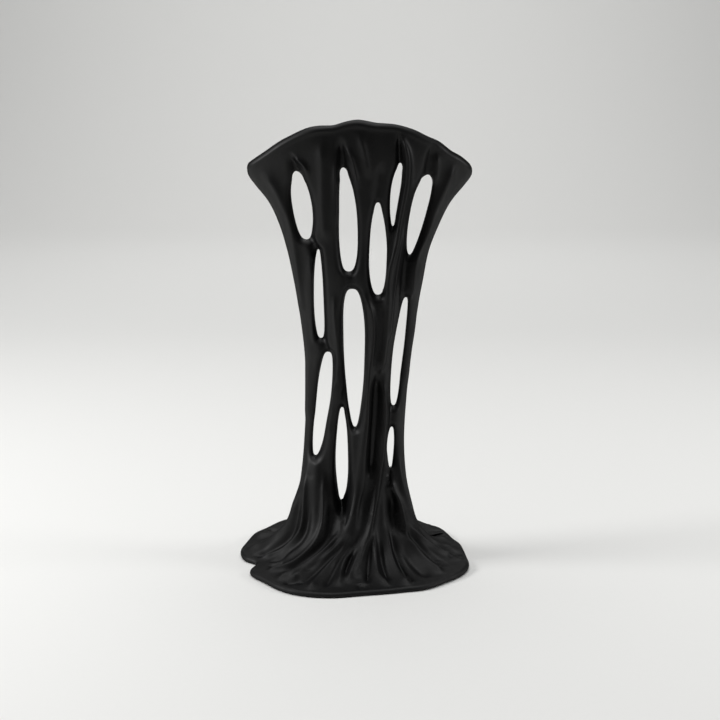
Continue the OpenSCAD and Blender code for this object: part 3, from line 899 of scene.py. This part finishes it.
# %% The core
CORE_PROFILE = [(0.72, 0.0), (0.72, 0.2), (0.66, 0.4), (0.5, 0.52), (0.28, 0.58), (0.05, 0.6)]
TURN = np.linspace(0, 2 * np.pi, 65)[:-1]
rings = arc(CORE_PROFILE)
core_points = [(CORE_X + CORE[0] * r * np.cos(a), CORE[1] * r * np.sin(a), SLAB + h * (FOOT - SLAB))
               for r, h in rings for a in TURN]
around = len(TURN)
core_faces = [tuple(range(around))[::-1], tuple(range(len(core_points) - around, len(core_points)))]
core_faces += [(low + n, low + (n + 1) % around, low + around + (n + 1) % around, low + around + n)
               for low in range(0, len(core_points) - around, around) for n in range(around)]
core_mesh = bpy.data.meshes.new("clay_foot_core")
core_mesh.from_pydata([tuple(v / METRE for v in p) for p in core_points], [], core_faces)
core_mesh.shade_smooth()
core = bpy.data.objects.new("clay_foot_core", core_mesh)
bpy.context.scene.collection.objects.link(core)
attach(core, "root")
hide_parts("foot_core")
pieces["foot_core"] = core
print(f"the core is {-clay(*np.array(core_points).T).max():.1f} mm inside the clay")

# %% [markdown]
# ## Shader maths as plain expressions
# A `Wire` wraps one socket. Adding, subtracting or multiplying wires adds the Math node that does
# it, so a mask reads like a formula.


# %% A small shader language
class Wire:
    def __init__(self, bench, socket):
        self.bench, self.socket = bench, socket

    def math(self, operation, *others, clamp=False):
        inputs = {n: o for n, o in enumerate((self, *others))}
        return self.bench.node("ShaderNodeMath", {"operation": operation, "use_clamp": clamp}, inputs)

    def __add__(self, other):
        return self.math("ADD", other)

    def __mul__(self, other):
        return self.math("MULTIPLY", other)

    def __sub__(self, other):
        return self.math("SUBTRACT", other)

    def __rsub__(self, other):
        return self.bench.node("ShaderNodeMath", {"operation": "SUBTRACT"}, {0: other, 1: self})

    __radd__, __rmul__ = __add__, __mul__

    def between(self, low, high):
        """0 below low, 1 above high."""
        return ((self - low) * (1 / (high - low))).math("MULTIPLY", 1, clamp=True)


class Bench:
    """One material's node tree."""

    def __init__(self, name):
        self.material = bpy.data.materials.new(name)
        self.material.use_nodes = True
        self.tree = self.material.node_tree
        self.tree.nodes.clear()

    def node(self, kind, settings=None, inputs=None, output=0):
        made = self.tree.nodes.new(kind)
        for key, value in (settings or {}).items():
            setattr(made, key, value)
        for key, value in (inputs or {}).items():
            if isinstance(value, Wire):
                self.tree.links.new(value.socket, made.inputs[key])
            else:
                made.inputs[key].default_value = value
        return Wire(self, made.outputs[output]) if made.outputs else None

    def mix(self, factor, a, b):
        """A colour between a and b."""
        made = self.tree.nodes.new("ShaderNodeMix")
        made.data_type = "RGBA"
        for socket, value in zip((0, 6, 7), (factor, a, b)):
            if isinstance(value, Wire):
                self.tree.links.new(value.socket, made.inputs[socket])
            else:
                made.inputs[socket].default_value = value
        return Wire(self, made.outputs[2])

    def stretched(self, scale):
        """The object's own coordinates, stretched by a different amount along each axis."""
        coords = self.node("ShaderNodeTexCoord", output=3)
        return self.node("ShaderNodeVectorMath", {"operation": "MULTIPLY"}, {0: coords, 1: scale})

    def noise(self, vector, scale, detail=3, rough=0.5):
        return self.node("ShaderNodeTexNoise", {"noise_dimensions": "3D"},
                         {"Vector": vector, "Scale": scale, "Detail": detail, "Roughness": rough})


# %% [markdown]
# ## Burnished black clay
# The black comes from smoke in a closed kiln, and the satin from rubbing the leather-hard clay with
# a stone. So the colour hardly changes, while the shine does: the stone leaves faint streaks along
# its way. Under it all is the grain of the clay.

# %% The clay's finish
SOOT = (0.0022, 0.0022, 0.0024, 1)
GRAPHITE = (0.0045, 0.0045, 0.0045, 1)


def black_clay(name, along, shine):
    """Black clay. along stretches the burnishing streaks, shine is the roughness where it is best."""
    bench = Bench(name)
    plain = bench.stretched((1, 1, 1))
    streaks = bench.noise(bench.stretched(along), 1.0, detail=4, rough=0.55)
    clouds = bench.noise(plain, 28.0, detail=3)
    patches = bench.noise(plain, 95.0, detail=4, rough=0.6)
    grain = bench.noise(plain, 1500.0, detail=2, rough=0.6)
    pits = bench.node("ShaderNodeTexVoronoi", {"feature": "F1"}, {"Vector": plain, "Scale": 420.0})
    pit = 1 - pits.between(0.08, 0.22)
    pit_here = pit * patches.between(0.56, 0.66)
    tone = (clouds * 0.6 + patches * 0.4).between(0.32, 0.68)
    colour = bench.mix(tone, SOOT, GRAPHITE)
    rubbed = streaks.between(0.35, 0.65) * 0.6 + clouds.between(0.35, 0.7) * 0.4
    roughness = shine + 0.13 - rubbed * 0.13 + pit_here * 0.12 + grain * 0.04
    height = grain * 0.5 + streaks * 1.6 + patches * 0.7 - pit_here * 0.8
    bump = bench.node("ShaderNodeBump", {}, {"Strength": 0.5, "Distance": 0.00012, "Height": height})
    polished = bench.node("ShaderNodeBsdfPrincipled", {}, {
        "Base Color": colour, "Roughness": roughness, "Normal": bump, "IOR": 1.34,
        "Specular IOR Level": 0.5})
    # Painted shade: a matte near-black copy of the clay, mixed in where the surface turns away from view,
    # darkens the outline.
    painted_dark_outline = bench.node("ShaderNodeBsdfPrincipled", {}, {
        "Base Color": SOOT, "Roughness": 0.9, "Normal": bump, "Specular IOR Level": 0.05})
    glance = bench.node("ShaderNodeLayerWeight", {}, {"Blend": 0.5}, output=1)
    # The more the surface turns away from view, the more painted shade darkens it.
    surface = bench.node("ShaderNodeMixShader", {}, {
        0: glance.between(0.30, 0.85) * 0.8, 1: polished, 2: painted_dark_outline})
    bench.node("ShaderNodeOutputMaterial", {}, {"Surface": surface})
    return bench.material


FINISHES = {
    "foot_clay": black_clay("black clay of the foot", (160, 160, 60), 0.48),
    "coil_clay": black_clay("black clay of the coils", (260, 260, 26), 0.40),
    "crown_clay": black_clay("black clay of the crown", (220, 220, 30), 0.40),
    "rim_clay": black_clay("black clay of the rim", (40, 220, 220), 0.42),
}
for name, piece in pieces.items():
    piece.data.materials.append(FINISHES[slots[name]])
print(f"{len(FINISHES)} finishes on {len(pieces)} pieces")

# %% [markdown]
# ## A pale sweep and soft light
# The floor bends up into the back wall in one curve, so there is no horizon. It could be endless,
# but a floor that stops a good arm's length away keeps the light even wherever it is looked at from.

# %% The sweep
PAPER = (0.80, 0.80, 0.785, 1)


def sweep_mesh():
    """A floor that bends up into a wall behind the object."""
    reach, back, bend, tall, parts = 1.7, 2.2, 1.2, 2.4, 24
    line = [(-reach, 0.0), (0.0, 0.0)]
    for n in range(parts + 1):
        a = math.pi / 2 * n / parts
        line.append((back + bend * math.sin(a), bend * (1 - math.cos(a))))
    line.append((back + bend, tall))
    verts = [(s * reach, y, z) for y, z in line for s in (-1, 1)]
    quads = [(2 * n, 2 * n + 1, 2 * n + 3, 2 * n + 2) for n in range(len(line) - 1)]
    mesh = bpy.data.meshes.new("paper_sweep")
    mesh.from_pydata(verts, [], quads)
    mesh.shade_smooth()
    return mesh


paper = Bench("matte paper")
fleck = paper.noise(paper.stretched((1, 1, 1)), 240.0, detail=2)
tone = paper.mix(fleck, PAPER, tuple(0.985 * c for c in PAPER[:3]) + (1,))
sheet = paper.node("ShaderNodeBsdfPrincipled", {}, {"Base Color": tone, "Roughness": 0.95,
                                                    "Specular IOR Level": 0.1})
paper.node("ShaderNodeOutputMaterial", {}, {"Surface": sheet})
floor = bpy.data.objects.new("paper_sweep", sweep_mesh())
bpy.context.scene.collection.objects.link(floor)
floor.data.materials.append(paper.material)

# %% [markdown]
# ## Soft light on burnished black
# Burnished black shows only what it reflects. A white room all round would turn it grey, so the room
# gives it very little light, though it looks pale to the eye. One large disk overhead, a smaller one
# at each side to draw the ridges, and one that washes the wall do the rest.


# %% Lights
def soft_light(name, place, aim, size, power):
    """A round light of a size in metres and a power in watts, turned to its aim."""
    lamp = bpy.data.lights.new(name, "AREA")
    lamp.shape, lamp.size, lamp.energy = "DISK", size, power
    held = bpy.data.objects.new(name, lamp)
    held.location = place
    held.rotation_euler = (Vector(aim) - Vector(place)).to_track_quat("-Z", "Y").to_euler()
    bpy.context.scene.collection.objects.link(held)


MIDDLE = (0.0, 0.0, HEIGHT / METRE / 2)
soft_light("overhead", (0.0, 0.6, 2.6), (0.0, 0.5, 0.0), 3.0, 58)
soft_light("window_left", (-1.25, -0.15, 0.8), MIDDLE, 0.5, 12)
soft_light("bounce_right", (1.3, -0.1, 0.6), MIDDLE, 0.4, 5)
soft_light("wall_wash", (0.0, 1.6, 1.9), (0.0, 3.4, 1.3), 1.6, 15)
world = bpy.data.worlds.new("grey room")
world.use_nodes = True
world.node_tree.nodes["Background"].inputs["Color"].default_value = (1.0, 1.0, 0.99, 1)
path = world.node_tree.nodes.new("ShaderNodeLightPath")
shares = world.node_tree.nodes.new("ShaderNodeMapRange")
shares.inputs["To Min"].default_value = 0.055       # what reaches the clay
shares.inputs["To Max"].default_value = 0.7         # what is seen behind it
world.node_tree.links.new(path.outputs["Is Camera Ray"], shares.inputs["Value"])
sky = world.node_tree.nodes["Background"].inputs["Strength"]
world.node_tree.links.new(shares.outputs["Result"], sky)
bpy.context.scene.world = world
bpy.context.scene.view_settings.view_transform = "Standard"

# %% [markdown]
# ## The camera
# It stands about three object heights away and looks down a little, so the foot opens into a wide
# oval while the crown is seen nearly edge on.

# %% Camera
TILT = math.radians(12.0)
AWAY = 1.108            # metres from the aim
AIM = Vector((0.003, 0.0, 0.164))
LENS = 70.1             # the lens's focal length, in millimetres
lens = bpy.data.cameras.new("camera")
lens.sensor_width = 36.0
lens.lens = LENS
camera = bpy.data.objects.new("camera", lens)
camera.location = AIM + Vector((0, -math.cos(TILT), math.sin(TILT))) * AWAY
camera.rotation_euler = (math.pi / 2 - TILT, 0, 0)
bpy.context.scene.collection.objects.link(camera)
bpy.context.scene.camera = camera
